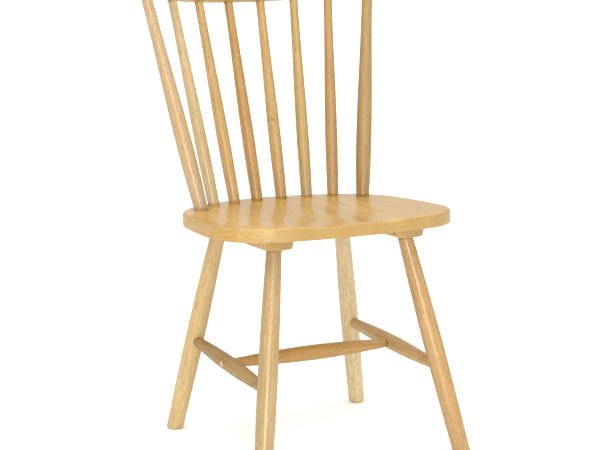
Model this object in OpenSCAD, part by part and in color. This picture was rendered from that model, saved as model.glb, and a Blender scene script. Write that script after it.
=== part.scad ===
// Spindle-back dining chair: a saddle seat on four turned legs with an H stretcher, and a back
// of two stiles and six spindles under a bent crest rail.
//
// Frame: +Z up, the chair faces -Y, the floor is z = 0, and left is -X. The origin is on the
// floor, below the middle of the chair's overall box. Places along Y are given from the middle
// of the four feet, and chair_depth_centre moves the whole chair to the origin.

/* [Overall] */
// Distance from the middle of the four feet back to the middle of the chair's depth
chair_depth_centre = 57.5; // [50:0.5:65]

/* [Seat] */
// Height of the seat's top face, over the middle of the feet
seat_h = 450; // [440:1:460]
// Thickness of the seat board
seat_t = 25.5; // [24:0.5:28]
// Fall of the seat towards the back, in degrees
seat_slope = 2; // [1:0.5:3]
// Distance from the middle of the feet forward to the seat's front edge
seat_front = 182.5; // [180:0.5:186]
// Radius of the bowed front edge
front_r = 1010; // [950:10:1050]
// Radius of the front corners
corner_r = 115; // [112:1:118]
// Radius of the nearly straight sides
side_r = 1005; // [950:5:1050]
// Radius of the rear corners
shoulder_r = 141; // [138:1:144]
// Turn of the half outline along the front edge, in degrees
front_turn = 8.3; // [8:0.1:8.6]
// Turn along a front corner, in degrees
corner_turn = 83.6; // [83:0.1:84]
// Turn along a side, in degrees
side_turn = 8; // [7.6:0.1:8.4]
// Turn along a rear corner, in degrees
shoulder_turn = 48.2; // [47:0.1:49]
// Distance of each scoop's middle line from the seat's middle line
scoop_x = 58; // [54:1:62]
// Depth of each scoop
scoop_depth = 4.5; // [4:0.5:6]
// Radius of a scoop from side to side
scoop_r = 270; // [250:5:290]
// Radius of a scoop from front to back
scoop_long_r = 4400; // [4200:50:4600]
// Distance of a scoop's deepest place ahead of the middle of the feet
scoop_deep_y = 110; // [105:1:120]

/* [Legs] */
// Distance of a front foot from the middle plane
front_foot_x = 210; // [206:1:214]
// Distance of the feet forward and back of their middle
foot_y = 199.5; // [196:0.5:203]
// Distance of a front leg's upper end from the middle plane
front_top_x = 137; // [135:1:139]
// Distance of a front leg's upper end ahead of the middle of the feet
front_top_y = 102.5; // [100:0.5:105]
// Distance of a rear foot from the middle plane
rear_foot_x = 206; // [203:1:209]
// Distance of a rear leg's upper end from the middle plane
rear_top_x = 132.5; // [131:0.5:134]
// Distance of a rear leg's upper end behind the middle of the feet
rear_top_y = 138.5; // [136:0.5:141]
// Height at which the legs' upper ends are placed
leg_top_h = 408; // [404:1:412]
// Diameter at the foot
leg_foot_d = 32.5; // [30:0.5:34]
// Largest diameter
leg_belly_d = 36.8; // [35:0.1:38]
// Diameter at the upper end
leg_top_d = 29; // [28:0.5:30]
// Where the leg is thickest, as a share of its height
leg_belly_at = 0.46; // [0.4:0.01:0.5]
// Diameter of the round tenon through the batten
leg_tenon_d = 24; // [22:0.5:25]
// How far the tenon goes into the seat
leg_tenon_in_seat = 12; // [10:0.5:14]

/* [Battens] */
// Thickness at the front leg
batten_t = 20.5; // [19:0.5:22]
// Thinning towards the back, in degrees
batten_wedge = 1; // [0.5:0.1:1.2]
// Width against the seat
batten_w = 61; // [59:1:63]
// Width of the lower face
batten_low_w = 54; // [52:1:56]
// Distance from a leg's upper end out to the batten's rounded end
batten_end = 30; // [28:1:32]
// Radius of the rounded ends
batten_end_r = 40; // [38:1:42]

/* [Stretchers] */
// Height at which the side stretchers meet the front legs
stretcher_front_h = 161.5; // [158:0.5:165]
// Height at which the side stretchers meet the rear legs
stretcher_rear_h = 182; // [178:0.5:186]
// Largest diameter
stretcher_d = 30; // [29:0.5:31]
// Diameter of a side stretcher's ends
stretcher_end_d = 19.5; // [18:0.5:20]
// Diameter of the cross stretcher's ends
cross_end_d = 17.5; // [16:0.5:18]
// Distance of the cross stretcher behind the middle of the feet
cross_y = 9.5; // [5:0.5:14]
// How far a side stretcher reaches past a leg's axis
stretcher_reach = 4; // [2:0.5:6]

/* [Back] */
// Lean of the crest rail, in degrees
crest_lean = 15; // [14.5:0.5:15.5]
// Distance up the lean from the floor to the crest rail's lower edge
crest_low = 876; // [870:1:882]
// Radius of the crest rail's bend, along the middle of its thickness
crest_r = 420; // [415:1:425]
// Distance of the bend's deepest point behind the middle of the feet, square to the lean
crest_back = 77.5; // [75:0.5:80]
// Thickness of the crest rail
crest_t = 26; // [25:0.5:27]
// Height of the crest rail at its middle
crest_h = 62; // [58:1:66]
// Half of the angle that the crest rail spans, in degrees
crest_half_span = 37.6; // [37:0.1:38.5]
// Radius of the arched upper edge
crest_arch_r = 2050; // [1900:50:2300]
// Radius of the upper corners at the crest rail's ends
crest_upper_round = 24; // [18:1:26]
// Radius of the lower corners at the crest rail's ends
crest_lower_round = 12; // [8:1:16]
// Angle between neighbouring spindles at the crest, in degrees
spindle_top_step = 9.6; // [9.4:0.1:9.8]
// Angle of a stile from the middle plane at the crest, in degrees
stile_top_angle = 35; // [34.5:0.1:35.2]
// Radius of the arc on which the spindles stand on the seat
spindle_foot_r = 378; // [374:1:382]
// Distance of that arc's centre ahead of the middle of the feet
spindle_foot_centre = 186.5; // [185:0.5:188]
// Angle between neighbouring spindles at the seat, in degrees
spindle_foot_step = 8.1; // [7.9:0.1:8.3]
// Angle of a stile from the middle plane at the seat, in degrees
stile_foot_angle = 29.3; // [29:0.1:29.6]
// Distance of a stile's foot from that arc's centre
stile_foot_r = 360; // [356:1:362]
// Diameters of a spindle at its foot, at its thickest and at its top
spindle_d = [22.6, 25, 17.4]; // [16:0.1:26]
// Diameters of a stile at its foot, at its thickest and at its top
stile_d = [26.4, 31.2, 21.4]; // [20:0.1:32]
// Where spindles and stiles are thickest, as a share of their length
spindle_belly_at = 0.25; // [0.2:0.01:0.3]
// Diameter and length of a spindle's tenons
spindle_tenon = [14, 17]; // [13:0.5:18]
// Diameter and length of a stile's tenons
stile_tenon = [17, 18]; // [16:0.5:20]

/* [Fixings] */
// Length of a batten screw
batten_screw_l = 30; // [28:1:31]
// Length of a stretcher screw
stretcher_screw_l = 45; // [40:1:50]
// Diameter of a screw's shank
screw_d = 4; // [3.5:0.1:4.5]
// Diameter of a screw's head
screw_head_d = 8.4; // [8:0.1:9]
// Diameter of the wooden plugs over the stretcher screws
plug_d = 12; // [11:0.5:13]
// Length of the plugs
plug_l = 6; // [5:0.5:7]

/* [Hidden] */

$fn = 72;
LEFT = -1;
RIGHT = 1;
gap = 0.05;           // radial clearance of a glued joint
end_gap = 1;          // glue space past the end of a tenon
cross_gap = 0.3;      // glue space at the cross stretcher's ends
big = 1200;           // size of the blocks that cut along a plane
lap = 0.1;            // how far a cutting body starts outside what it cuts
turned_steps = 14;    // cones along a turned piece
leg_straight = 10;    // straight length at each end of a leg
leg_beyond = 30;      // how far a leg is turned past its ends before they are cut
stick_straight = 6;   // straight length at each end of a spindle or stile
stick_beyond = 12;    // how far a spindle or stile is turned past its ends
tenon_root = 10;      // how far a tenon starts inside the piece that it belongs to
batten_spare = 24;    // height of a batten's blank above its thickness, before it is cut
seam_turn = 70;       // turns the start of a turned surface away from the sockets and end cuts
screw_head_l = 2.8;   // height of a screw's countersunk head
screw_rim = 0.6;      // height of the straight rim round the head
screw_sunk = 0.3;     // depth of the batten screws' heads below the wood
recess_w = 1;         // width of a slot of the cross recess
recess_depth = 1.6;   // depth of the cross recess
scoop_sweep = 4.5;    // half of the angle that a scoop's trough is swept through
scoop_fn = 240;       // facets of the scoop's cross section
bend_fn = 360;        // facets of the crest rail's bend
long_arc_fn = 1440;   // facets of the very large circles
screw_shares = [0.2, 0.5, 0.8];   // places of the batten screws between the legs

light_wood = [0.86, 0.72, 0.50];
mid_wood = [0.82, 0.66, 0.43];
steel = [0.72, 0.72, 0.70];

// Seat outline: arcs from the middle of the front round to the middle of the back. An angle of
// 0 points to the front (-Y) and 90 to the side.
function outward(angle) = [sin(angle), -cos(angle)];
turn_1 = front_turn;
turn_2 = turn_1 + corner_turn;
turn_3 = turn_2 + side_turn;
turn_4 = turn_3 + shoulder_turn;
outline_turns = [0, turn_1, turn_2, turn_3, turn_4, 180];
centre_1 = [0, front_r - seat_front];
centre_2 = centre_1 + (front_r - corner_r) * outward(turn_1);
centre_3 = centre_2 + (corner_r - side_r) * outward(turn_2);
centre_4 = centre_3 + (side_r - shoulder_r) * outward(turn_3);
back_r = shoulder_r + centre_4.x / sin(turn_4);   // brings the last centre to the middle plane
centre_5 = centre_4 + (shoulder_r - back_r) * outward(turn_4);
outline_centres = [centre_1, centre_2, centre_3, centre_4, centre_5];
outline_radii = [front_r, corner_r, side_r, shoulder_r, back_r];
outline_step = 3;   // largest angle between points of the outline, in degrees

// Legs: each right-hand axis runs from the floor to the batten's lower face.
FRONT = 0;
REAR = 1;
leg_foot = [[front_foot_x, -foot_y, 0], [rear_foot_x, foot_y, 0]];
leg_top = [[front_top_x, -front_top_y, leg_top_h], [rear_top_x, rear_top_y, leg_top_h]];
function leg_at(place, z) =
    leg_foot[place] + (leg_top[place] - leg_foot[place]) * z / leg_top_h;

// Right-hand side stretcher, from the front leg's axis to the rear leg's, and past both
function unit(v) = v / norm(v);
function between(p, q, y) = p + (q - p) * (y - p.y) / (q.y - p.y);
side_joints = [leg_at(FRONT, stretcher_front_h), leg_at(REAR, stretcher_rear_h)];
side_dir = unit(side_joints[REAR] - side_joints[FRONT]);
side_ends = [side_joints[FRONT] - stretcher_reach * side_dir,
             side_joints[REAR] + stretcher_reach * side_dir];
side_socket_l = leg_belly_d / 2 + stretcher_reach;
cross_joint = between(side_joints[FRONT], side_joints[REAR], cross_y);
plug_x = cross_joint.x + stretcher_d / 2 - plug_l;   // inner end of a plug

// Back: feet on the seat's top face, tops on the crest rail's lower face.
function seat_point(p) =
    [p.x, p.y * cos(seat_slope), seat_h - p.y * sin(seat_slope)];
function lean_point(p) =
    [p.x, p.y * cos(crest_lean) + p.z * sin(crest_lean),
     p.z * cos(crest_lean) - p.y * sin(crest_lean)];
function foot_on_seat(r, angle) =
    seat_point([r * sin(angle), r * cos(angle) - spindle_foot_centre]);
function top_on_crest(angle) =
    lean_point([crest_r * sin(angle), crest_back - crest_r * (1 - cos(angle)), crest_low]);
crest_end_h = crest_h - crest_arch_r
    + sqrt(pow(crest_arch_r, 2) - pow(crest_r * sin(crest_half_span), 2));

// Sticks on one side: places 0, 1 and 2 are the spindles from the inside out, 3 is the stile.
STILE = 3;
function stick_foot(place) = place == STILE
    ? foot_on_seat(stile_foot_r, stile_foot_angle)
    : foot_on_seat(spindle_foot_r, (place + 0.5) * spindle_foot_step);
function stick_top(place) =
    top_on_crest(place == STILE ? stile_top_angle : (place + 0.5) * spindle_top_step);
function stick_tenon(place) = place == STILE ? stile_tenon : spindle_tenon;
function stick_d(place) = place == STILE ? stile_d : spindle_d;

// Radius of a turned piece at share t of its length: ends, belly and where the belly is
function swell(t, d, belly_at) = t < belly_at
    ? (d[0] + (d[1] - d[0]) * sin(90 * max(t, 0) / belly_at)) / 2
    : (d[1] + (d[2] - d[1]) * (1 - cos(180 * (t - belly_at) / (1 - belly_at))) / 2) / 2;
function leg_radius(t) = t < leg_belly_at
    ? (leg_foot_d + (leg_belly_d - leg_foot_d) * sin(90 * max(t, 0) / leg_belly_at)) / 2
    : (leg_belly_d + (leg_top_d - leg_belly_d)
       * (1 - cos(90 * (min(t, 1) - leg_belly_at) / (1 - leg_belly_at)))) / 2;

module placed() {
    translate([0, -chair_depth_centre, 0]) children();
}

module on_side(side) {
    mirror([side < 0 ? 1 : 0, 0, 0]) children();
}

// Stands children's Z axis on p, pointing to q.
module along(p, q) {
    d = q - p;
    translate(p) rotate([0, acos(d.z / norm(d)), atan2(d.y, d.x)]) children();
}

module in_seat() {
    translate([0, 0, seat_h]) rotate([-seat_slope, 0, 0]) children();
}

module in_crest() {
    rotate([-crest_lean, 0, 0]) translate([0, 0, crest_low]) children();
}

// Batten frame: the XY plane is the batten's lower face, and Y runs from the front leg back.
batten_turn = atan2(front_top_x - rear_top_x, front_top_y + rear_top_y);
batten_l = norm([front_top_x - rear_top_x, front_top_y + rear_top_y]);
module on_batten(side) {
    on_side(side)
        in_seat()
            translate([front_top_x, -front_top_y, -seat_t - batten_t])
                rotate([batten_wedge, 0, batten_turn])
                    children();
}

// Turned body along Z from 0 to l, with radii given per share of its length. The ends are
// straight for a length, and run on past 0 and l.
module turned(l, radii, straight, beyond = 0) {
    last = len(radii) - 1;
    rotate([0, 0, seam_turn])
        rotate_extrude()
            polygon(concat(
                [[0, -beyond], [radii[0], -beyond]],
                [for (i = [0:last]) [radii[i], straight + (l - 2 * straight) * i / last]],
                [[radii[last], l + beyond], [0, l + beyond]]));
}

// ---- Seat ----

// Points of the right half's arc i, from its start up to its end
function arc_points(i) =
    let (turn = outline_turns[i + 1] - outline_turns[i],
         steps = ceil(turn / outline_step))
    [for (k = [0:steps - 1])
        outline_centres[i] + outline_radii[i] * outward(outline_turns[i] + turn * k / steps)];
right_outline = [for (i = [0:4], p = arc_points(i)) p];
back_middle = centre_5 + back_r * outward(180);
left_outline = [for (i = [len(right_outline) - 1:-1:1]) [-right_outline[i].x, right_outline[i].y]];

module seat_blank() {
    translate([0, 0, -seat_t])
        linear_extrude(seat_t)
            polygon(concat(right_outline, [[0, back_middle.y]], left_outline));
}

// One scoop: a shallow trough that runs out through the front edge and rises towards the back
module scoop() {
    translate([scoop_x, -scoop_deep_y, scoop_long_r - scoop_depth])
        rotate([0, 90, 0])
            rotate([0, 0, -scoop_sweep])
                rotate_extrude(angle = 2 * scoop_sweep, $fn = long_arc_fn)
                    translate([scoop_long_r - scoop_r, 0])
                        circle(scoop_r, $fn = scoop_fn);
}

module seat() {
    color(light_wood)
        placed()
            difference() {
                in_seat() seat_blank();
                for (side = [LEFT, RIGHT]) {
                    on_side(side) in_seat() scoop();
                    for (place = [0:STILE])
                        on_side(side) stick_tenons(place, gap);
                    on_side(side) leg_tenons(gap);
                    batten_screw_places(side) screw(batten_screw_l, gap);
                }
            }
}

// ---- Battens ----

module batten_body() {
    top_h = batten_t + batten_spare;
    grow = (batten_w - batten_low_w) / 2 / batten_t;
    intersection() {
        rotate([90, 0, 0])
            linear_extrude(2 * big, center = true)
                polygon([[-batten_low_w / 2, 0], [batten_low_w / 2, 0],
                         [batten_low_w / 2 + grow * top_h, top_h],
                         [-batten_low_w / 2 - grow * top_h, top_h]]);
        union() {
            for (y = [batten_end_r - batten_end, batten_l - batten_end_r + batten_end])
                translate([0, y, 0])
                    cylinder(h = top_h, r1 = batten_end_r, r2 = batten_end_r + grow * top_h);
            translate([-batten_w, batten_end_r - batten_end, 0])
                cube([2 * batten_w, batten_l + 2 * (batten_end - batten_end_r), top_h]);
        }
    }
}

module batten(side) {
    color(mid_wood)
        placed()
            difference() {
                on_batten(side) batten_body();
                in_seat()
                    translate([-big / 2, -big / 2, -seat_t])
                        cube([big, big, big]);
                on_side(side) leg_tenons(gap);
                batten_screw_places(side) screw(batten_screw_l, gap);
            }
}

module batten_screw_places(side) {
    for (share = screw_shares)
        on_batten(side)
            translate([0, batten_l * share, screw_sunk])
                children();
}

// ---- Legs ----

// Clearance g makes the bore for the tenon.
module leg_tenon(place, g = 0) {
    tenon_l = batten_t + leg_tenon_in_seat + (g > 0 ? end_gap : 0);
    along(leg_top[place], 2 * leg_top[place] - leg_foot[place])
        translate([0, 0, -tenon_root])
            cylinder(h = tenon_l + tenon_root, d = leg_tenon_d + 2 * g);
}

module leg_tenons(g) {
    for (place = [FRONT, REAR])
        leg_tenon(place, g);
}

module leg(place, side) {
    color(light_wood)
        placed()
            on_side(side)
                difference() {
                    union() {
                        difference() {
                            leg_body(place);
                            on_batten(RIGHT)
                                translate([-big / 2, -big / 2, 0])
                                    cube([big, big, big]);
                        }
                        leg_tenon(place);
                    }
                    translate([-big / 2, -big / 2, -big])
                        cube([big, big, big]);
                    side_socket(place);
                }
}

module leg_body(place) {
    along(leg_foot[place], leg_top[place])
        turned(norm(leg_top[place] - leg_foot[place]),
               [for (i = [0:turned_steps]) leg_radius(i / turned_steps)],
               leg_straight, leg_beyond);
}

// ---- Stretchers ----

// A stretcher is straight where it sits in its socket and swells between.
module stretcher_body(p, q, end_d, socket_l) {
    along(p, q)
        turned(norm(q - p),
               [for (i = [0:turned_steps])
                   (end_d + (stretcher_d - end_d) * sin(180 * i / turned_steps)) / 2],
               socket_l);
}

module side_socket(place) {
    out = place == FRONT ? -side_dir : side_dir;
    along(side_ends[place] + end_gap * out, side_ends[1 - place])
        cylinder(h = 2 * side_socket_l, d = stretcher_end_d + 2 * gap);
}

module side_stretcher_blank() {
    stretcher_body(side_ends[FRONT], side_ends[REAR], stretcher_end_d, side_socket_l);
}

// Points children's Z axis inwards along the cross stretcher's axis, from x.
module from_outside(x) {
    translate([x, cross_joint.y, cross_joint.z]) rotate([0, -90, 0]) children();
}

module side_stretcher(side) {
    color(light_wood)
        placed()
            on_side(side)
                difference() {
                    side_stretcher_blank();
                    from_outside(cross_joint.x)
                        cylinder(h = stretcher_d, d = cross_end_d + 2 * gap);
                    from_outside(plug_x + stretcher_d)
                        cylinder(h = stretcher_d, d = plug_d + 2 * gap);
                    from_outside(plug_x) screw(stretcher_screw_l, gap);
                }
}

module cross_stretcher() {
    end = cross_joint - [cross_gap, 0, 0];
    color(mid_wood)
        placed()
            difference() {
                stretcher_body([-end.x, end.y, end.z], end, cross_end_d, stretcher_d / 2);
                for (side = [LEFT, RIGHT])
                    on_side(side) from_outside(plug_x) screw(stretcher_screw_l, gap);
            }
}

// ---- Back ----

module stick_tenons(place, g = 0) {
    foot = stick_foot(place);
    top = stick_top(place);
    tenon = stick_tenon(place);
    extra = tenon[1] + (g > 0 ? end_gap : 0);
    along(foot, top) {
        translate([0, 0, -extra])
            cylinder(h = extra + tenon_root, d = tenon[0] + 2 * g);
        translate([0, 0, norm(top - foot) - tenon_root])
            cylinder(h = extra + tenon_root, d = tenon[0] + 2 * g);
    }
}

module stick(place, side) {
    foot = stick_foot(place);
    top = stick_top(place);
    d = stick_d(place);
    color(place == STILE ? light_wood : mid_wood)
        placed()
            on_side(side) {
                difference() {
                    along(foot, top)
                        turned(norm(top - foot),
                               [for (i = [0:turned_steps])
                                   swell(i / turned_steps, d, spindle_belly_at)],
                               stick_straight, stick_beyond);
                    in_seat() translate([-big / 2, -big / 2, -big]) cube([big, big, big]);
                    in_crest() translate([-big / 2, -big / 2, 0]) cube([big, big, big]);
                }
                stick_tenons(place);
            }
}

// Bent board in the leaning frame, with an arched top and rounded ends
module crest_blank() {
    difference() {
        intersection() {
            translate([0, crest_back - crest_r, 0])
                rotate([0, 0, 90 - crest_half_span])
                    rotate_extrude(angle = 2 * crest_half_span, $fn = bend_fn)
                        translate([crest_r - crest_t / 2, 0])
                            square([crest_t, crest_h]);
            translate([0, 0, crest_h - crest_arch_r])
                rotate([90, 0, 0])
                    cylinder(h = big, r = crest_arch_r, center = true, $fn = long_arc_fn);
        }
        for (side = [LEFT, RIGHT])
            on_side(side) {
                crest_corner(crest_upper_round, crest_end_h - crest_upper_round, 1);
                crest_corner(crest_lower_round, crest_lower_round, -1);
            }
    }
}

// What is cut away outside a round corner at the crest rail's end. Up is 1 for the upper corner.
module crest_corner(r, z, up) {
    translate([0, crest_back - crest_r, 0])
        rotate([0, 0, -crest_half_span])
            translate([-r, crest_r, z])
                difference() {
                    translate([0, -crest_t, up > 0 ? 0 : -2 * r])
                        cube([2 * r, 2 * crest_t, 2 * r]);
                    rotate([90, 0, 0])
                        cylinder(h = 3 * crest_t, r = r, center = true);
                }
}

module crest_rail() {
    color(light_wood)
        placed()
            difference() {
                in_crest() crest_blank();
                for (side = [LEFT, RIGHT], place = [0:STILE])
                    on_side(side) stick_tenons(place, gap);
            }
}

// ---- Fixings ----

// Countersunk screw along Z, with its head's face at 0. Clearance g makes its hole.
module screw(l, g = 0) {
    head_r = screw_head_d / 2 + g;
    shank_r = screw_d / 2 + g;
    tip_l = screw_d;
    difference() {
        union() {
            rotate_extrude()
                polygon([[0, 0], [head_r, 0], [head_r, screw_rim],
                         [shank_r, screw_head_l],
                         [shank_r, l - tip_l], [0, l + g]]);
            if (g > 0)
                translate([0, 0, -screw_head_l]) cylinder(h = screw_head_l + lap, r = head_r);
        }
        if (g == 0)
            for (turn = [0, 90])
                rotate([0, 0, turn])
                    translate([-screw_head_d / 4, -recess_w / 2, -lap])
                        cube([screw_head_d / 2, recess_w, recess_depth + lap]);
    }
}

module batten_screws() {
    color(steel)
        placed()
            for (side = [LEFT, RIGHT])
                batten_screw_places(side) screw(batten_screw_l);
}

module stretcher_screws() {
    color(steel)
        placed()
            for (side = [LEFT, RIGHT])
                on_side(side) from_outside(plug_x) screw(stretcher_screw_l);
}

// Plugs are trimmed flush with the stretcher's surface.
module stretcher_plugs() {
    color(light_wood)
        placed()
            for (side = [LEFT, RIGHT])
                on_side(side)
                    intersection() {
                        from_outside(plug_x + 2 * plug_l)
                            cylinder(h = 2 * plug_l, d = plug_d);
                        side_stretcher_blank();
                    }
}

seat();
batten(LEFT);  // left_batten
batten(RIGHT);  // right_batten
leg(FRONT, LEFT);  // front_left_leg
leg(FRONT, RIGHT);  // front_right_leg
leg(REAR, LEFT);  // rear_left_leg
leg(REAR, RIGHT);  // rear_right_leg
side_stretcher(LEFT);  // left_stretcher
side_stretcher(RIGHT);  // right_stretcher
cross_stretcher();
stick(STILE, LEFT);  // left_stile
stick(STILE, RIGHT);  // right_stile
stick(2, LEFT);  // left_outer_spindle
stick(1, LEFT);  // left_middle_spindle
stick(0, LEFT);  // left_inner_spindle
stick(0, RIGHT);  // right_inner_spindle
stick(1, RIGHT);  // right_middle_spindle
stick(2, RIGHT);  // right_outer_spindle
crest_rail();
batten_screws();
stretcher_screws();
stretcher_plugs();
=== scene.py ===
"""Looks of the spindle-back dining chair. The seat, the crest rail and the turned parts are
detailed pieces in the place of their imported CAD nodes, and the battens, plugs and screws are the
nodes themselves. Every part has a procedural material, and the wood's grain runs along it."""

import math
from functools import partial

import bpy
import numpy as np
from mathutils import Matrix, Vector
from mathutils.geometry import convex_hull_2d


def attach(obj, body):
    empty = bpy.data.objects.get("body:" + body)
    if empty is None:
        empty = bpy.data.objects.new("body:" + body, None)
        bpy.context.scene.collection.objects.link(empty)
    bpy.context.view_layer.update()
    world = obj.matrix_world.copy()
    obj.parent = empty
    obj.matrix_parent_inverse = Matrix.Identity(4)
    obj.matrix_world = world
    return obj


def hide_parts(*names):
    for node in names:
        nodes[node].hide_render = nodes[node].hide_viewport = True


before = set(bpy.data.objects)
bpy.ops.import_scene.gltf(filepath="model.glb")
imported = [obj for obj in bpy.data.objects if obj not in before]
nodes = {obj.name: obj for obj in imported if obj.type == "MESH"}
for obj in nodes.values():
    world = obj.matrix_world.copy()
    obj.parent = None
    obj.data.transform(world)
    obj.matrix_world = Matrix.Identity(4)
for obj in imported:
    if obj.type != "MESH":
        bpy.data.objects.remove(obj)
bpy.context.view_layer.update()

# ---- Driving sizes, in metres and degrees ----

SEAT_SLOPE = math.radians(2)       # fall of the seat towards the back
SEAT_TOP_ROUND = 0.0042            # rounding of the seat's top edge
SEAT_LOW_ROUND = 0.0022            # rounding of its lower edge
SCOOP_X = 0.058                    # each scoop's distance from the middle plane
SCOOP_Y = -0.1675                  # place of its deepest point along the seat
SCOOP_DEPTHS = (0.0052, 0.0032)    # of the left and the right scoop
SCOOP_R = 0.270                    # radius across the seat
SCOOP_LONG_R = 4.4                 # radius from front to back
SCOOP_BLEND = 0.0022               # softness of a scoop's rim

CREST_LEAN = math.radians(15)      # lean of the crest rail and the back
CREST_T = 0.026                    # thickness of the crest rail
CREST_R = 0.420                    # its bend, along the middle of the thickness
CREST_ROUND = 0.0058               # rounding of its long edges

RUN_ON = 0.0055                    # how far a turned part goes into its socket, past its face
FOOT_EASE = 0.0030                 # easing of the edge round a foot
FOOT_EDGE = ((1, 2.2), (0.35, 0.75), (0.08, 0.2), (0, 0))    # (breadth, height) down that edge
BOARD_W = 0.0903                   # width of the boards glued up into the seat
BOARD_JOINT = -0.0417              # where one joint between two boards lies
GLUE_LINE = 0.006                  # half a glue line's width, as a share of a board's
BOARD_SHIFT = (0.5, 0.5, 3.0)      # how far apart two boards' grain can be
BOARD_LUCK = 7.3                   # start of the boards' random numbers

SKIN = 0.0001                      # how far a turned surface stays inside the CAD's
TURN_SCALE = 0.998                 # room for a turned part to be out of round
OUT_OF_ROUND = 0.0035              # share of its radius by which it is
RIPPLE = 0.00007                   # height of the lathe's ripples along it
RIPPLE_RATE = 190                  # their change of phase in a metre, in radians
RIPPLE_SLIP = 0.3                  # largest random change of phase between two rings
TURN_POINTS = 64                   # points round a turned part
PROFILE_RINGS = 64                 # rings along its smooth profile
FEWEST_RING_POINTS = 12            # points that make a ring of the CAD's corners
TENON_R = {                        # a ring of each kind that is no thicker is its tenon's
    "leg": 0.0125,
    "stretcher": 0.004,
    "stile": 0.009,
    "spindle": 0.0075,
}
TURNED_REACH = {                   # how far past its first and last ring each kind runs on
    "leg": (0.010, 0.010 + RUN_ON),
    "stretcher": (0, 0),
    "stile": (0.006 + RUN_ON, 0.006 + RUN_ON),
    "spindle": (0.006 + RUN_ON, 0.006 + RUN_ON),
}

SEAT_OUTLINE_STEP = 0.0032         # spacing of the points round the seat
SEAT_OUTLINE_SOFTNESS = 0.004      # length over which its outline is made smooth
SEAT_FACE_RINGS = 64               # rings of faces from its edge to its middle
CREST_OUTLINE_STEP = 0.0022        # the same three for the crest rail
CREST_OUTLINE_SOFTNESS = 0.0022
CREST_FACE_RINGS = 12
EDGE_STEPS = 8                     # points round a board's eased edge

BATTEN_EASE = 0.0012               # easing of a batten's edges
BATTEN_EASE_ANGLE = math.radians(35)
WELD_GAP = 0.00001                 # corners closer than this are one

CAMERA_AZIMUTH = -27.51            # degrees round from the front
CAMERA_ELEVATION = 10.33           # degrees up
CAMERA_AIM = Vector((-0.095, -0.1809, 0.450))
CAMERA_DISTANCE = 3.222
CAMERA_LENS = 107.3                # in millimetres
CAMERA_SENSOR = 36                 # width of its sensor, also in millimetres
SUN_DISTANCE = 4                   # where the sun's object is, as only its direction counts
FLOOR_HALF = 40                    # half the floor's side
FLOOR_COLOUR = (0.885, 0.89, 0.90)

GRAIN_ALONG_X = Matrix.Rotation(math.radians(90), 4, "Y")
GRAIN_ALONG_Y = Matrix.Rotation(math.radians(-90), 4, "X")

# ---- Looks ----

LIGHT = (0.485, 0.345, 0.158)      # the wood's two tones
DARK = (0.300, 0.186, 0.061)
SEAT_TINT = (1.17, 1.09, 0.76)     # of both tones, each channel times this
CREST_TINT = (0.98, 0.95, 0.85)
BATTEN_TINT = (1.10, 1.00, 0.62)
PLUG_TINT = (1.3, 1.3, 1.4)
WARM_TINT = (0.93, 0.78, 0.58)     # of the light tone, in warm patches
END_TINT = (0.76, 0.81, 1.0)       # laid over end grain
BOARD_TINT = (1.02, 0.98, 0.90)    # of the dark tone, over the seat's darker boards
GLUE_TINT = (0.60, 0.55, 0.45)     # of the dark tone, in glue lines
PORE_TINT = (0.66, 0.56, 0.42)     # in pores
DARK_SPOT_TINT = (0.42, 0.30, 0.22)     # and in dark spots: knots, and painted shade under the seat
ZINC_LIGHT = (0.60, 0.60, 0.58)    # the screws' two tones
ZINC_DARK = (0.42, 0.42, 0.43)

RING_WANDER_SIZE = 0.022           # how far the rings wander, in metres
RING_WAVER_SIZE = 0.0016           # and how far they waver more finely
PALEST = 0.24                      # sum of the marks that is still the light tone

# how close each mark is (across the grain, along it), in cells of noise a metre
RING_WANDER = (9, 1.6)
RING_WAVER = (60, 5)
FIBRES = (430, 26)
FLECKS = (560, 130)
BROAD_TONE = (16, 3.2)
STREAKS = (230, 15)
WARM_PATCHES = (22, 1.9)
HANDLING = 38                      # the same both ways, for handling marks


# ---- Shader helpers ----

def new_material(name):
    """A new material: (it, its node tree, its surface shader)."""
    made = bpy.data.materials.new(name)
    made.use_nodes = True
    return made, made.node_tree, made.node_tree.nodes["Principled BSDF"]


def add_node(tree, kind, inputs=None, **settings):
    """A new shader node with its settings and inputs; an input given as a socket is linked."""
    made = tree.nodes.new(kind)
    for key, value in settings.items():
        setattr(made, key, value)
    for key, value in (inputs or {}).items():
        if isinstance(value, bpy.types.NodeSocket):
            tree.links.new(value, made.inputs[key])
        else:
            made.inputs[key].default_value = value
    return made


def maths(tree, operation, a, b=0.0, c=0.0, clamp=False):
    return add_node(tree, "ShaderNodeMath", {0: a, 1: b, 2: c},
                    operation=operation, use_clamp=clamp).outputs[0]


def vector_maths(tree, operation, a, b=(0, 0, 0)):
    made = add_node(tree, "ShaderNodeVectorMath", {0: a, 1: b}, operation=operation)
    return made.outputs["Value" if operation in ("LENGTH", "DOT_PRODUCT") else "Vector"]


def split(tree, vector):
    """The vector's X, Y and Z."""
    return add_node(tree, "ShaderNodeSeparateXYZ", {0: vector}).outputs


def mixed(tree, factor, a, b, blend="MIX"):
    """Colour a with colour b laid over it by factor."""
    made = add_node(tree, "ShaderNodeMix", {0: factor, 6: a, 7: b},
                    data_type="RGBA", blend_type=blend)
    return made.outputs[2]


def spread(tree, value, low, high, to_low=0.0, to_high=1.0):
    """value brought from the span low..high to the span to_low..to_high, and kept in it."""
    made = add_node(tree, "ShaderNodeMapRange",
                    {0: value, 1: low, 2: high, 3: to_low, 4: to_high})
    return made.outputs[0]


def stretched(tree, place, across, along):
    """The place scaled across and along the grain, which runs along Z."""
    return add_node(tree, "ShaderNodeMapping",
                    {"Vector": place, "Scale": (across, across, along)}).outputs[0]


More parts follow.
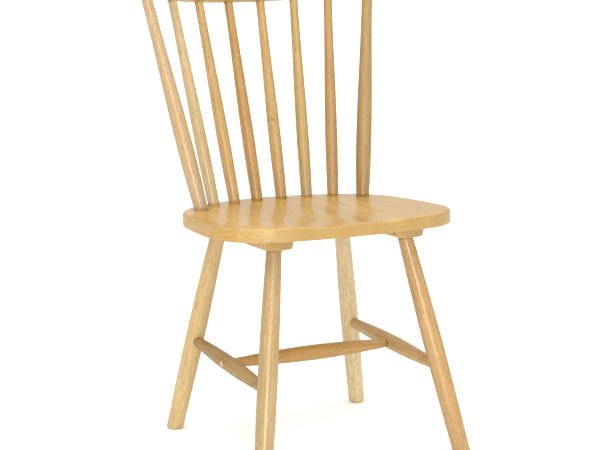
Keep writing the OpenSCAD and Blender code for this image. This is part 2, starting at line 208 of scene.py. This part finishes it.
def noise(tree, place, scale=1.0, detail=2.0, roughness=0.5):
    return add_node(tree, "ShaderNodeTexNoise",
                    {"Vector": place, "Scale": scale, "Detail": detail,
                     "Roughness": roughness}).outputs["Fac"]


def bumped(tree, shader, height, strength, distance):
    """Raises the surface by height, in its shading."""
    bump = add_node(tree, "ShaderNodeBump",
                    {"Height": height, "Strength": strength, "Distance": distance})
    tree.links.new(bump.outputs[0], shader.inputs["Normal"])


def shaded(colour, tint):
    """The colour, each channel times tint."""
    return *(np.array(colour) * tint), 1


# ---- Wood ----

def into_boards(tree, place):
    """The seat's glued boards: (place moved by a different amount in each board, place with its X
    counted from a line inside the board, a tone for each board, darkness of the glue line)."""
    x, y, z = split(tree, place)
    board = maths(tree, "DIVIDE", maths(tree, "SUBTRACT", x, BOARD_JOINT), BOARD_W)
    number = maths(tree, "FLOOR", board)
    luck = add_node(tree, "ShaderNodeTexWhiteNoise", {"W": maths(tree, "ADD", number, BOARD_LUCK)},
                    noise_dimensions="1D")
    tone = luck.outputs["Value"]
    far = vector_maths(tree, "MULTIPLY", luck.outputs["Color"], BOARD_SHIFT)
    moved = vector_maths(tree, "ADD", place, far)
    off_line = maths(tree, "SUBTRACT", maths(tree, "FRACT", board),
                     spread(tree, tone, 0.0, 1.0, 0.25, 0.75))
    inside = add_node(tree, "ShaderNodeCombineXYZ",
                      {0: maths(tree, "MULTIPLY", off_line, BOARD_W), 1: y, 2: z}).outputs[0]
    from_joint = maths(tree, "PINGPONG", board, 0.5)
    return moved, inside, tone, spread(tree, from_joint, 0.0, GLUE_LINE, 1.0, 0.0)


def growth_rings(tree, place, inside, waver, pith, ring):
    """Rings round the pith, 1 in the latest wood of each, wavering slowly along the grain."""
    x, y, _ = split(tree, inside)
    dx = maths(tree, "ADD", x, pith[0])
    dy = maths(tree, "ADD", y, pith[1])
    reach = maths(tree, "SQRT", maths(tree, "ADD", maths(tree, "MULTIPLY", dx, dx),
                                      maths(tree, "MULTIPLY", dy, dy)))
    wander = noise(tree, stretched(tree, place, *RING_WANDER), detail=3)
    reach = maths(tree, "MULTIPLY_ADD", wander, RING_WANDER_SIZE, reach)
    reach = maths(tree, "MULTIPLY_ADD", waver, RING_WAVER_SIZE, reach)
    phase = maths(tree, "FRACT", maths(tree, "DIVIDE", reach, ring))
    late = maths(tree, "POWER", phase, 3.0)
    return maths(tree, "SUBTRACT", late, spread(tree, phase, 0.93, 1.0))


def end_grain(tree, normal, grain):
    """1 where the surface lies across the grain, and 0 along it."""
    facing = vector_maths(tree, "DOT_PRODUCT", normal, grain.to_3x3() @ Vector((0, 0, 1)))
    return spread(tree, maths(tree, "ABSOLUTE", facing), 0.55, 0.92)


def faded(tree, value, end, share):
    """value, brought down to share of itself on end grain."""
    return maths(tree, "MULTIPLY", value, spread(tree, end, 0.0, 1.0, 1.0, share))


def wood_tone(tree, place, rings, fibres, end, figure):
    """From the light tone, 0, to the dark, 1: a sum of the marks, each with its own share."""
    broad = noise(tree, stretched(tree, place, *BROAD_TONE), detail=3)
    streaks = noise(tree, stretched(tree, place, *STREAKS), detail=3, roughness=0.65)
    marks = ((spread(tree, broad, 0.3, 0.7), 0.34),
             (spread(tree, streaks, 0.3, 0.7), 0.42),
             (faded(tree, rings, end, 0.60), 0.30 * figure),
             (spread(tree, fibres, 0.32, 0.68), 0.44),
             (end, 0.20))
    tone = 0.0
    for mark, share in marks:
        tone = maths(tree, "MULTIPLY_ADD", mark, share, tone)
    return maths(tree, "SUBTRACT", tone, PALEST, clamp=True)


def with_dark_spot(tree, colour, here, waver, dark, spot):
    """The colour with a dark spot, (place on the chair, radius, darkness), its rim made uneven."""
    middle, radius, darkness = spot
    away = vector_maths(tree, "LENGTH", vector_maths(tree, "SUBTRACT", here, middle))
    away = maths(tree, "MULTIPLY_ADD", waver, radius * 0.5, away)
    near = spread(tree, away, radius * 1.25, radius * 0.7, 0.0, darkness)
    return mixed(tree, near, colour, shaded(dark, DARK_SPOT_TINT))


def satin(tree, shader, place, normal, pores, polished):
    """Worn satin lacquer: handling marks and pores change its gloss."""
    rubbed = noise(tree, place, scale=HANDLING, detail=3)
    gloss = spread(tree, rubbed, 0.3, 0.7, 0.38, 0.52)
    if polished:
        upward = split(tree, normal)[2]
        gloss = maths(tree, "MULTIPLY", gloss, spread(tree, upward, 0.80, 0.98, 1.0, 0.50))
    gloss = maths(tree, "MULTIPLY_ADD", pores, 0.10, gloss)
    tree.links.new(gloss, shader.inputs["Roughness"])
    shader.inputs["Specular IOR Level"].default_value = 0.40 if polished else 0.12
    shader.inputs["Coat Weight"].default_value = 0.06 if polished else 0.22
    shader.inputs["Coat Roughness"].default_value = 0.27
    shader.inputs["Coat IOR"].default_value = 2.2


def wood(name, light, dark, seed, grain=Matrix(), pith=(0.045, 0.02), ring=0.0052,
         figure=1.0, boards=False, dark_spots=(), polished=False):
    """Clear-lacquered pale wood, solid through the part. light and dark are its two tones. The
    Z axis of the frame grain lies along the grain, and pith is how far that axis is from the
    tree's. ring is the width of a growth ring, and figure its strength. With boards the part is
    a panel glued up from them, and a polished part shines on its upper face."""
    made, tree, shader = new_material(name)
    coordinates = add_node(tree, "ShaderNodeTexCoord").outputs
    here, normal = coordinates["Object"], coordinates["Normal"]
    to_grain = grain.inverted()
    local = add_node(tree, "ShaderNodeMapping",
                     {"Vector": here, "Location": to_grain.to_translation(),
                      "Rotation": to_grain.to_euler()}).outputs[0]
    place, inside = local, local
    if boards:
        place, inside, board_tone, glue = into_boards(tree, local)
    chance = np.random.default_rng(seed)
    place = vector_maths(tree, "ADD", place, tuple(chance.uniform(-3, 3, 3)))

    waver = noise(tree, stretched(tree, place, *RING_WAVER), detail=2)
    rings = growth_rings(tree, place, inside, waver, pith, ring)
    end = end_grain(tree, normal, grain)
    flecks = noise(tree, stretched(tree, place, *FLECKS), detail=2, roughness=0.6)
    pores = faded(tree, spread(tree, flecks, 0.50, 0.66), end, 0.25)
    fibres = noise(tree, stretched(tree, place, *FIBRES), detail=4, roughness=0.72)
    fibres = maths(tree, "SUBTRACT", fibres, 0.5)
    fibres = maths(tree, "ADD", faded(tree, fibres, end, 0.35), 0.5)

    colour = mixed(tree, wood_tone(tree, place, rings, fibres, end, figure),
                   (*light, 1), (*dark, 1))
    warm = noise(tree, stretched(tree, place, *WARM_PATCHES), detail=2)
    colour = mixed(tree, spread(tree, warm, 0.50, 0.70, 0.0, 0.60), colour,
                   shaded(light, WARM_TINT))
    colour = mixed(tree, end, colour, (*END_TINT, 1), "MULTIPLY")
    if boards:
        colour = mixed(tree, maths(tree, "MULTIPLY", board_tone, 0.60), colour,
                       shaded(dark, BOARD_TINT))
        colour = mixed(tree, maths(tree, "MULTIPLY", glue, 0.35), colour,
                       shaded(dark, GLUE_TINT))
    colour = mixed(tree, maths(tree, "MULTIPLY", pores, 0.42), colour, shaded(dark, PORE_TINT))
    for spot in dark_spots:
        colour = with_dark_spot(tree, colour, here, waver, dark, spot)
    tree.links.new(colour, shader.inputs["Base Color"])

    satin(tree, shader, place, normal, pores, polished)
    height = maths(tree, "MULTIPLY_ADD", fibres, 0.5, maths(tree, "MULTIPLY", pores, -0.7))
    height = maths(tree, "MULTIPLY_ADD", rings, 0.25, height)
    bumped(tree, shader, height, strength=0.30, distance=0.00035)
    return made


def steel(name):
    """Zinc-plated steel with fine brushed marks."""
    made, tree, shader = new_material(name)
    here = add_node(tree, "ShaderNodeTexCoord").outputs["Object"]
    marks = noise(tree, stretched(tree, here, 2600, 300), detail=3, roughness=0.7)
    stain = noise(tree, here, scale=240, detail=3)
    colour = mixed(tree, spread(tree, stain, 0.35, 0.7), (*ZINC_LIGHT, 1), (*ZINC_DARK, 1))
    tree.links.new(colour, shader.inputs["Base Color"])
    tree.links.new(spread(tree, marks, 0.2, 0.8, 0.24, 0.46), shader.inputs["Roughness"])
    bumped(tree, shader, marks, strength=0.35, distance=0.0001)
    shader.inputs["Metallic"].default_value = 1.0
    return made


# ---- Making pieces ----

def new_piece(node, points, faces, place, material):
    """A smooth mesh piece that stands for the CAD node. Its points are given in the frame place."""
    mesh = bpy.data.meshes.new(node)
    mesh.from_pydata([tuple(p) for p in points], [], faces)
    mesh.transform(place)
    mesh.validate()
    mesh.materials.append(material)
    mesh.shade_smooth()
    made = bpy.data.objects.new(f"{node}_wood", mesh)
    bpy.context.scene.collection.objects.link(made)
    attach(made, "root")
    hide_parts(node)
    return made


def cad_points(node):
    """The CAD node's corners, each once."""
    points = np.array([v.co for v in nodes[node].data.vertices])
    return np.unique(np.round(points, 6), axis=0)


def loop_faces(loops, count):
    """Faces between successive closed loops of count points, and a fan on each end's middle."""
    faces = []
    for k in range(loops - 1):
        for i in range(count):
            j = (i + 1) % count
            faces.append((k * count + i, k * count + j, (k + 1) * count + j, (k + 1) * count + i))
    first, last = loops * count, loops * count + 1
    for i in range(count):
        j = (i + 1) % count
        faces.append((first, j, i))
        faces.append((last, (loops - 1) * count + i, (loops - 1) * count + j))
    return faces


# ---- Turned parts ----

def frame_along(start, direction):
    """A right-handed frame with its origin at start and its Z axis along direction."""
    z = direction / np.linalg.norm(direction)
    x = np.cross((0, 1, 0), z)
    x /= np.linalg.norm(x)
    return start, np.array([x, np.cross(z, x), z])


def rings_of(points):
    """The turned surface's rings in a part's corners: (frame, list of (height, radius)). Each
    round of the search finds the part's axis more closely and takes a narrower band of corners
    as one ring."""
    middle = points.mean(0)
    direction = np.linalg.svd(points - middle)[2][0]
    if abs(direction[2]) > 0.5:    # a standing part's frame points up
        direction *= np.sign(direction[2])
    start, axes = frame_along(middle, direction)
    for band in (0.0015, 0.0008, 0.0004, 0.0002, 0.0001):
        local = (points - start) @ axes.T
        order = np.argsort(local[:, 2])
        groups = np.split(order, np.where(np.diff(local[order, 2]) > band)[0] + 1)
        centres, sizes = [], []
        for group in groups:
            if len(group) < FEWEST_RING_POINTS:
                continue
            ring = local[group]
            centre = (ring.max(0) + ring.min(0)) / 2
            radii = np.hypot(*(ring - centre)[:, :2].T)
            if np.ptp(radii) < max(band, 0.0002) * 2:
                centres.append(centre)
                sizes.append(radii.mean())
        world = np.array(centres) @ axes + start
        start = world.mean(0)
        direction = np.linalg.svd(world - start)[2][0]
        direction *= np.sign(direction @ axes[2])
        start, axes = frame_along(start, direction)
    heights = (world - start) @ axes[2]
    return (start, axes), sorted(zip(heights, sizes))


def smooth_profile(rings, count):
    """count (height, radius) pairs on a smooth curve through the rings."""
    heights, radii = np.array(rings).T
    slopes = np.gradient(radii, heights)
    at = np.linspace(heights[0], heights[-1], count)
    k = np.clip(np.searchsorted(heights, at) - 1, 0, len(heights) - 2)
    step = heights[k + 1] - heights[k]
    t = (at - heights[k]) / step
    radius = ((1 + 2 * t) * (1 - t) ** 2 * radii[k] + t * (1 - t) ** 2 * step * slopes[k]
              + t * t * (3 - 2 * t) * radii[k + 1] + t * t * (t - 1) * step * slopes[k + 1])
    return list(zip(at, radius))


def turned_loops(stations, chance):
    """Loops of points round the (height, radius) stations, a little out of round and rippled."""
    turns = np.linspace(0, 2 * np.pi, TURN_POINTS, endpoint=False)
    wobble = TURN_SCALE * (1 + OUT_OF_ROUND * np.sin(2 * turns + chance.uniform(0, 6)))
    loops = []
    for height, radius in stations:
        ripple = RIPPLE * math.sin(height * RIPPLE_RATE + chance.uniform(0, RIPPLE_SLIP))
        reach = (radius - SKIN + ripple) * wobble
        loops.append(np.column_stack([reach * np.cos(turns), reach * np.sin(turns),
                                      np.full(TURN_POINTS, height)]))
    return loops


def cut_level(loops, start, axes):
    """A leg's loops with its foot cut off level at the floor, and the foot's edge eased."""
    def up(loop):
        return (loop @ axes + start)[:, 2]

    loops = [loop for loop in loops[1:] if up(loop).min() > 3 * FOOT_EASE]
    rim = loops[0]
    radius = np.hypot(rim[0, 0], rim[0, 1])
    for breadth, height in FOOT_EDGE:
        loop = rim.copy()
        loop[:, :2] *= 1 - (1 - breadth) ** 2 * FOOT_EASE / radius
        loop[:, 2] += height * FOOT_EASE - up(loop) / axes[2, 2]
        loops.insert(0, loop)
    return loops


def turned_piece(node, finish):
    """A turned part, without its tenons: it runs on a little way into its sockets instead.
    finish makes its material from its frame."""
    kind = node.split("_")[-1]
    before, after = TURNED_REACH[kind]
    (start, axes), rings = rings_of(cad_points(node))
    body = [ring for ring in rings if ring[1] > TENON_R[kind]]
    profile = smooth_profile(body, PROFILE_RINGS)
    stations = list(profile)
    if before:
        stations.insert(0, (profile[0][0] - before, profile[0][1]))
    if after:
        stations.append((profile[-1][0] + after, profile[-1][1]))
    seed = len(node) * 7 + ord(node[0]) + ord(node[-6])    # a number of the part's own
    loops = turned_loops(stations, np.random.default_rng(seed))
    if kind == "leg":
        loops = cut_level(loops, start, axes)
    ends = np.array([loops[0].mean(0), loops[-1].mean(0)])
    place = Matrix.Translation(Vector(start)) @ Matrix(axes.T.tolist()).to_4x4()
    return new_piece(node, np.vstack([*loops, ends]), loop_faces(len(loops), TURN_POINTS), place,
                     finish(grain=place))


# ---- Boards with an easy edge ----

def smooth_outline(flat, spacing, softness):
    """The outline of flat points, as evenly spaced points made smooth over a short length."""
    hull = flat[convex_hull_2d([Vector(p) for p in flat])]
    closed = np.vstack([hull, hull[:1]])
    run = np.concatenate([[0], np.cumsum(np.hypot(*np.diff(closed, axis=0).T))])
    count = int(run[-1] / spacing)
    at = np.linspace(0, run[-1], count, endpoint=False)
    line = np.column_stack([np.interp(at, run, closed[:, 0]), np.interp(at, run, closed[:, 1])])
    reach = int(3 * softness / spacing)
    weights = np.exp(-0.5 * (np.arange(-reach, reach + 1) * spacing / softness) ** 2)
    weights /= weights.sum()
    soft = sum(weight * np.roll(line, shift, axis=0)
               for shift, weight in zip(range(-reach, reach + 1), weights))
    area = np.sum(soft[:, 0] * np.roll(soft[:, 1], -1) - soft[:, 1] * np.roll(soft[:, 0], -1))
    return soft if area > 0 else soft[::-1]


def board_loops(outline, low, high, low_round, high_round, rings):
    """(closed loops, middle point) of a board. The loops go from the middle of its lower face,
    round its eased edge, to the middle of its upper face. low and high give a face's height."""
    ahead = np.roll(outline, -1, axis=0) - np.roll(outline, 1, axis=0)
    outward = np.column_stack([ahead[:, 1], -ahead[:, 0]])
    outward /= np.hypot(*outward.T)[:, None]
    middle = outline.mean(0)

    def edge(radius, face, side):
        made = []
        for turn in np.radians(np.linspace(0, 90, EDGE_STEPS)):
            line = outline - outward * radius * (1 - math.sin(turn))
            height = face(line) + side * radius * (1 - math.cos(turn))
            made.append(np.column_stack([line, height]))
        return made

    def inner(radius, face):
        rim = outline - outward * radius
        made = []
        for share in np.linspace(0, 1, rings + 1)[1:-1]:
            line = middle + (rim - middle) * share
            made.append(np.column_stack([line, face(line)]))
        return made

    below = inner(low_round, low) + edge(low_round, low, 1)
    above = inner(high_round, high) + edge(high_round, high, -1)
    return below + above[::-1], middle


# ---- Seat ----

def soft_max(a, b, softness):
    return softness * np.logaddexp(a / softness, b / softness)


def scooped(line):
    """Depth of the two scoops under the seat's top face."""
    along = (line[:, 1] - SCOOP_Y) ** 2 / (2 * SCOOP_LONG_R)
    left, right = (depth - (line[:, 0] - side * SCOOP_X) ** 2 / (2 * SCOOP_R) - along
                   for side, depth in zip((-1, 1), SCOOP_DEPTHS))
    return soft_max(soft_max(left, right, SCOOP_BLEND), 0, SCOOP_BLEND)


def make_seat(finish):
    tilt = Matrix.Rotation(-SEAT_SLOPE, 3, "X")
    local = cad_points("seat") @ np.array(tilt)
    bottom = local[:, 2].min()
    thickness = local[:, 2].max() - bottom
    outline = smooth_outline(local[:, :2], SEAT_OUTLINE_STEP, SEAT_OUTLINE_SOFTNESS)
    loops, middle = board_loops(outline, lambda line: np.zeros(len(line)),
                                lambda line: thickness - scooped(line),
                                SEAT_LOW_ROUND, SEAT_TOP_ROUND, SEAT_FACE_RINGS)
    ends = np.array([[*middle, 0], [*middle, thickness - scooped(middle[None])[0]]])
    place = tilt.to_4x4() @ Matrix.Translation((0, 0, bottom))
    return new_piece("seat", np.vstack([*loops, ends]), loop_faces(len(loops), len(outline)),
                     place, finish(grain=place @ GRAIN_ALONG_Y))


# ---- Crest rail ----

def make_crest(finish):
    """The rail is laid out flat, along its bend and up its lean, and then bent again."""
    tilt = Matrix.Rotation(-CREST_LEAN, 3, "X")
    local = cad_points("crest_rail") @ np.array(tilt)
    middle_y = local[:, 1].max() - CREST_R - CREST_T / 2
    turn = np.arctan2(local[:, 0], local[:, 1] - middle_y)
    bottom = local[:, 2].min()
    flat = np.column_stack([CREST_R * turn, local[:, 2] - bottom])
    outline = smooth_outline(flat, CREST_OUTLINE_STEP, CREST_OUTLINE_SOFTNESS)
    loops, middle = board_loops(outline, lambda line: np.full(len(line), -CREST_T / 2),
                                lambda line: np.full(len(line), CREST_T / 2),
                                CREST_ROUND, CREST_ROUND, CREST_FACE_RINGS)
    ends = np.array([[*middle, -CREST_T / 2], [*middle, CREST_T / 2]])
    points = np.vstack([*loops, ends])
    angle = points[:, 0] / CREST_R
    radius = CREST_R + points[:, 2]
    bent = np.column_stack([radius * np.sin(angle), radius * np.cos(angle) - CREST_R,
                            points[:, 1]])
    faces = [face[::-1] for face in loop_faces(len(loops), len(outline))]
    place = tilt.to_4x4() @ Matrix.Translation((0, middle_y + CREST_R, bottom))
    return new_piece("crest_rail", bent, faces, place, finish(grain=place @ GRAIN_ALONG_X))


# ---- The chair ----

TURNED = {
    # node: (tint, strength of the ring figure)
    "front_left_leg": ((0.87, 0.89, 0.92), 0.8),
    "front_right_leg": ((0.93, 0.82, 0.72), 1.0),
    "rear_left_leg": ((1.12, 1.16, 1.18), 0.7),
    "rear_right_leg": ((1.28, 1.48, 1.95), 1.0),
    "left_stretcher": ((0.67, 0.58, 0.38), 0.8),
    "right_stretcher": ((0.98, 0.92, 0.82), 0.8),
    "cross_stretcher": ((0.86, 0.72, 0.50), 1.0),
    # the left stile's tint is partly its own tone and partly a painted sheen: it is paler and bluer
    # to stand for the whitish sheen along it
    "left_stile": ((0.93, 0.98, 1.26), 0.9),
    "left_outer_spindle": ((1.04, 1.10, 1.28), 0.8),
    "left_middle_spindle": ((0.96, 0.89, 0.80), 0.8),
    "left_inner_spindle": ((0.87, 0.73, 0.56), 1.0),
    "right_inner_spindle": ((0.93, 0.87, 0.78), 1.4),
    "right_middle_spindle": ((0.93, 0.93, 0.84), 0.7),
    "right_outer_spindle": ((0.87, 0.75, 0.65), 1.1),
    "right_stile": ((0.74, 0.68, 0.58), 0.8),
}
DARK_SPOTS = {
    # node: its dark spots, each (place on the chair, radius, darkness)
    # a knot in the spindle's wood
    "right_inner_spindle": [((0.0236, 0.1669, 0.5972), 0.0045, 0.48)],
    # painted shade, not a knot: a dark spot on the batten's inner face just under the seat, where
    # the gap between them lies in shade
    "right_batten": [((0.1075, -0.1686, 0.4156), 0.0048, 0.95)],
}


def tinted(tint):
    """The two tones of the wood, each channel times tint."""
    return tuple(np.array(LIGHT) * tint), tuple(np.array(DARK) * tint)


def refinish(node, material):
    """Gives a CAD node that stays in view its own material."""
    slots = nodes[node].data.materials
    slots.clear()
    slots.append(material)


def make_turned():
    for number, (node, (tint, figure)) in enumerate(TURNED.items()):
        pith = (0.02 + 0.011 * (number % 4), 0.012 * (number % 3))
        turned_piece(node, partial(wood, f"wood_{node}", *tinted(tint), seed=20 + number,
                                   pith=pith, ring=0.0048, figure=figure,
                                   dark_spots=DARK_SPOTS.get(node, ())))


def finish_batten(side):
    """A batten keeps its CAD shape, with its edges eased."""
    node = f"{side}_batten"
    refinish(node, wood(f"wood_{node}", *tinted(BATTEN_TINT), seed=11 + len(side),
                        grain=GRAIN_ALONG_Y, pith=(0.1, 0.07), ring=0.006,
                        dark_spots=DARK_SPOTS.get(node, ())))
    weld = nodes[node].modifiers.new("weld", "WELD")
    weld.merge_threshold = WELD_GAP
    ease = nodes[node].modifiers.new("ease", "BEVEL")
    ease.width = BATTEN_EASE
    ease.segments = 3
    ease.limit_method = "ANGLE"
    ease.angle_limit = BATTEN_EASE_ANGLE
    ease.harden_normals = True


make_turned()
make_seat(partial(wood, "wood_seat", *tinted(SEAT_TINT), seed=3, pith=(0.0, 0.045),
                  ring=0.0085, figure=2.8, boards=True, polished=True))
make_crest(partial(wood, "wood_crest", *tinted(CREST_TINT), seed=5, pith=(0.06, 0.05),
                   ring=0.006))
for side in ("left", "right"):
    finish_batten(side)
refinish("stretcher_plugs", wood("wood_plugs", *tinted(PLUG_TINT), seed=17, ring=0.003))
for screws in ("batten_screws", "stretcher_screws"):
    refinish(screws, steel(f"steel_{screws}"))


# ---- Floor, light and camera ----

def matt(name, colour):
    """A matt surface with a faint mottle, for the floor."""
    made, tree, shader = new_material(name)
    here = add_node(tree, "ShaderNodeTexCoord").outputs["Object"]
    mottle = noise(tree, here, scale=3, detail=2)
    shade = mixed(tree, spread(tree, mottle, 0.3, 0.7), (*colour, 1), shaded(colour, 0.985))
    tree.links.new(shade, shader.inputs["Base Color"])
    shader.inputs["Roughness"].default_value = 0.9
    shader.inputs["Specular IOR Level"].default_value = 0.1
    return made


def make_floor():
    half = FLOOR_HALF
    mesh = bpy.data.meshes.new("floor")
    mesh.from_pydata([(-half, -half, 0), (half, -half, 0), (half, half, 0), (-half, half, 0)],
                     [], [(0, 1, 2, 3)])
    mesh.materials.append(matt("pale_floor", FLOOR_COLOUR))
    floor = bpy.data.objects.new("floor", mesh)
    bpy.context.scene.collection.objects.link(floor)


def aimed(made, azimuth, elevation, distance):
    """Puts a light or camera round the chair, looking at the camera's aim. At azimuth 0 it looks
    along +Y."""
    a, e = math.radians(azimuth), math.radians(elevation)
    back = Vector((math.sin(a) * math.cos(e), -math.cos(a) * math.cos(e), math.sin(e)))
    made.location = CAMERA_AIM + back * distance
    made.rotation_euler = back.to_track_quat("Z", "Y").to_euler()
    bpy.context.scene.collection.objects.link(made)


def softbox(name, azimuth, elevation, distance, size, power):
    light = bpy.data.lights.new(name, "AREA")
    light.shape = "RECTANGLE"
    light.size, light.size_y = size
    light.energy = power
    aimed(bpy.data.objects.new(name, light), azimuth, elevation, distance)


def sunlight(name, azimuth, elevation, width, strength):
    """A broad even light from far away, width degrees across in the sky."""
    light = bpy.data.lights.new(name, "SUN")
    light.energy = strength
    light.angle = math.radians(width)
    aimed(bpy.data.objects.new(name, light), azimuth, elevation, SUN_DISTANCE)


def make_sky():
    """A sky that is brighter overhead, with a bright backdrop low down behind the chair."""
    world = bpy.data.worlds.new("studio")
    world.use_nodes = True
    sky = world.node_tree
    background = sky.nodes["Background"]
    background.inputs["Color"].default_value = (1.0, 0.99, 0.97, 1)
    toward = split(sky, add_node(sky, "ShaderNodeTexCoord").outputs["Generated"])
    dome = spread(sky, toward[2], 0.05, 0.65, 0.25, 1.65)
    backdrop = spread(sky, toward[1], 0.55, 0.90, 0.0, 0.80)
    sky.links.new(maths(sky, "MAXIMUM", dome, backdrop), background.inputs["Strength"])
    bpy.context.scene.world = world


def make_light():
    make_sky()
    sunlight("overhead", azimuth=-20, elevation=66, width=40, strength=1.0)
    softbox("key", azimuth=-26, elevation=5, distance=3.6, size=(0.8, 1.2), power=50)
    softbox("front", azimuth=-26, elevation=16, distance=4.6, size=(2.6, 2.0), power=46)


def make_camera():
    data = bpy.data.cameras.new("camera")
    data.lens = CAMERA_LENS
    data.sensor_width = CAMERA_SENSOR
    camera = bpy.data.objects.new("camera", data)
    aimed(camera, CAMERA_AZIMUTH, CAMERA_ELEVATION, CAMERA_DISTANCE)
    bpy.context.scene.camera = camera


make_floor()
make_light()
make_camera()
bpy.context.scene.view_settings.view_transform = "Standard"
